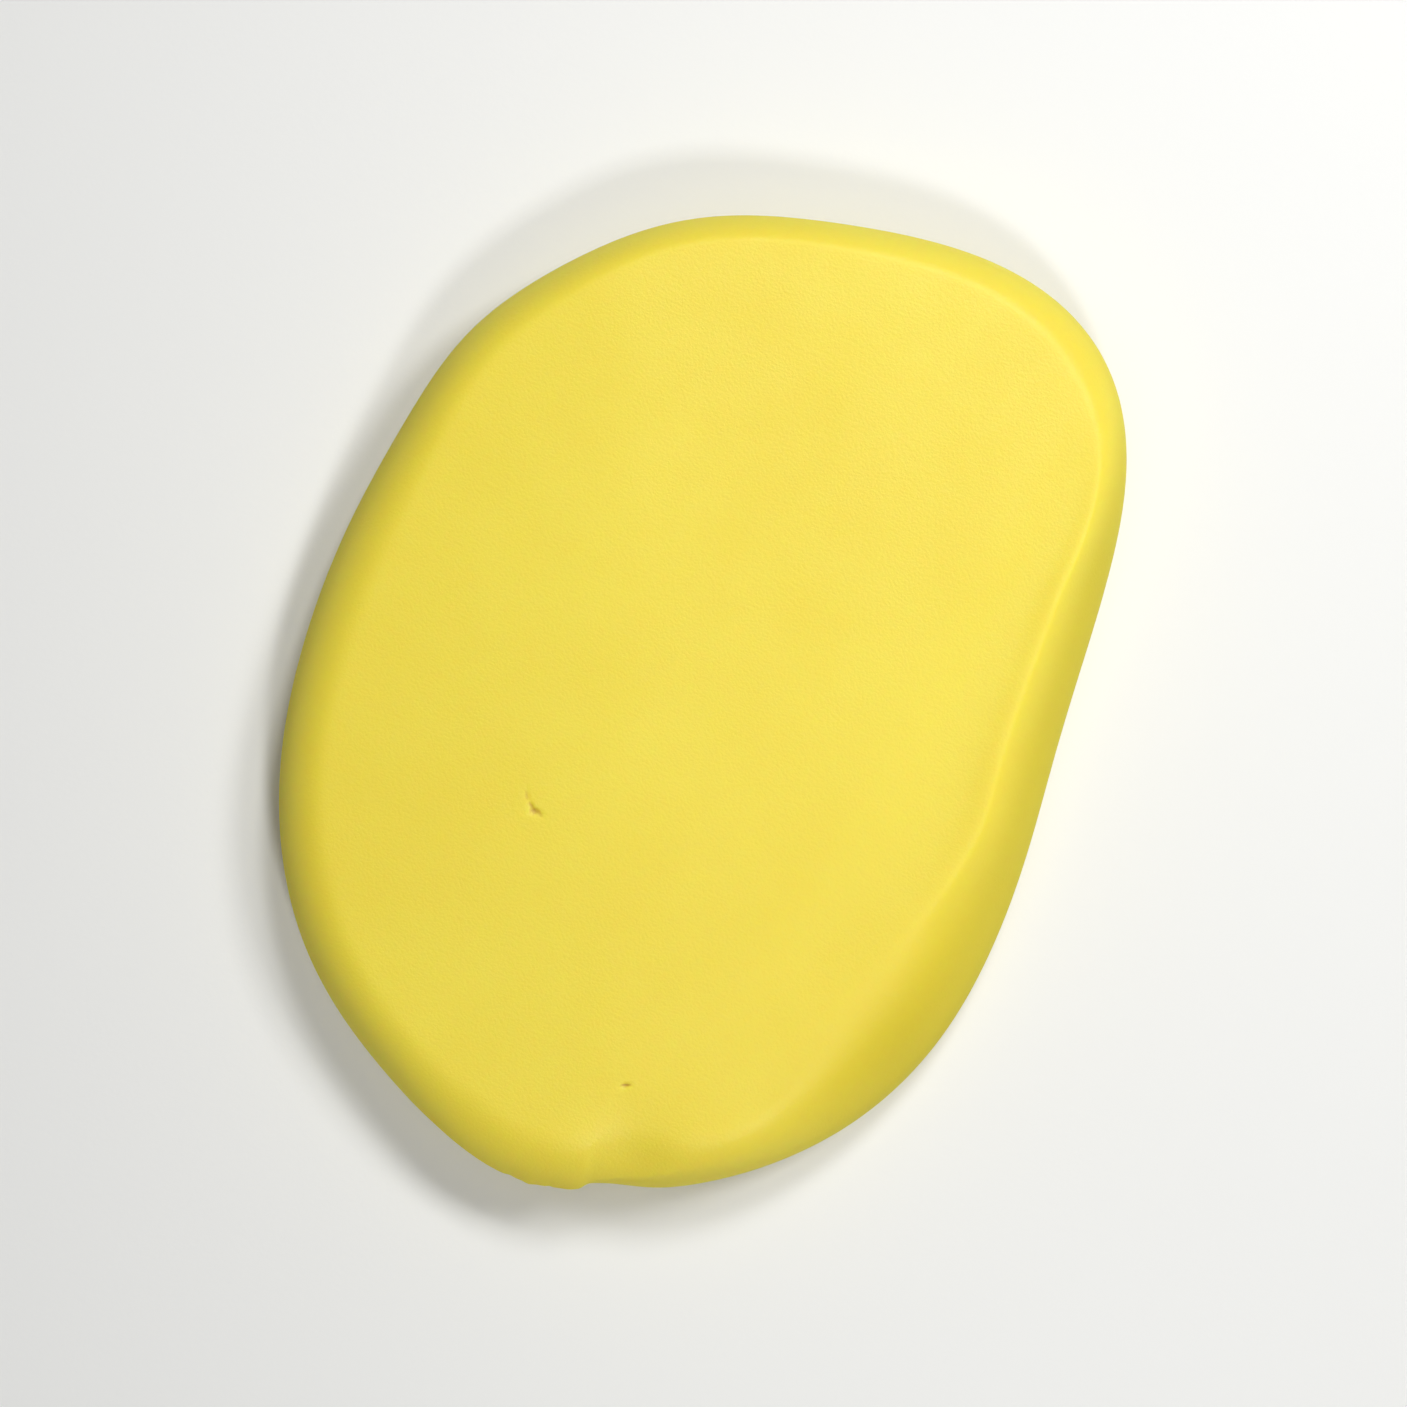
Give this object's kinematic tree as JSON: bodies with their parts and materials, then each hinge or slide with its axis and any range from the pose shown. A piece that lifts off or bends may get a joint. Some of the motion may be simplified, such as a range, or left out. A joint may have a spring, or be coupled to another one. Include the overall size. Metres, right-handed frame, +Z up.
{
  "type": "clay bar",
  "caption": "Hand-kneaded lump of yellow detailing clay pressed into a flat oval patty, with a rounded edge, a pressed shoulder down one side and a small folded lip at the narrow end.",
  "frame": {"origin": "middle of the outline's bounding box, on the flat resting face underneath", "axes": "+Z up out of the resting face, +Y along the patty's length towards its broad end, +X across it towards the pressed shoulder"},
  "size_m": [0.071, 0.0956, 0.013],
  "materials": {
    "clay": "satin"
  },
  "bodies": {
    "root": {"clay_bar": "clay"}
  },
  "joints": []
}
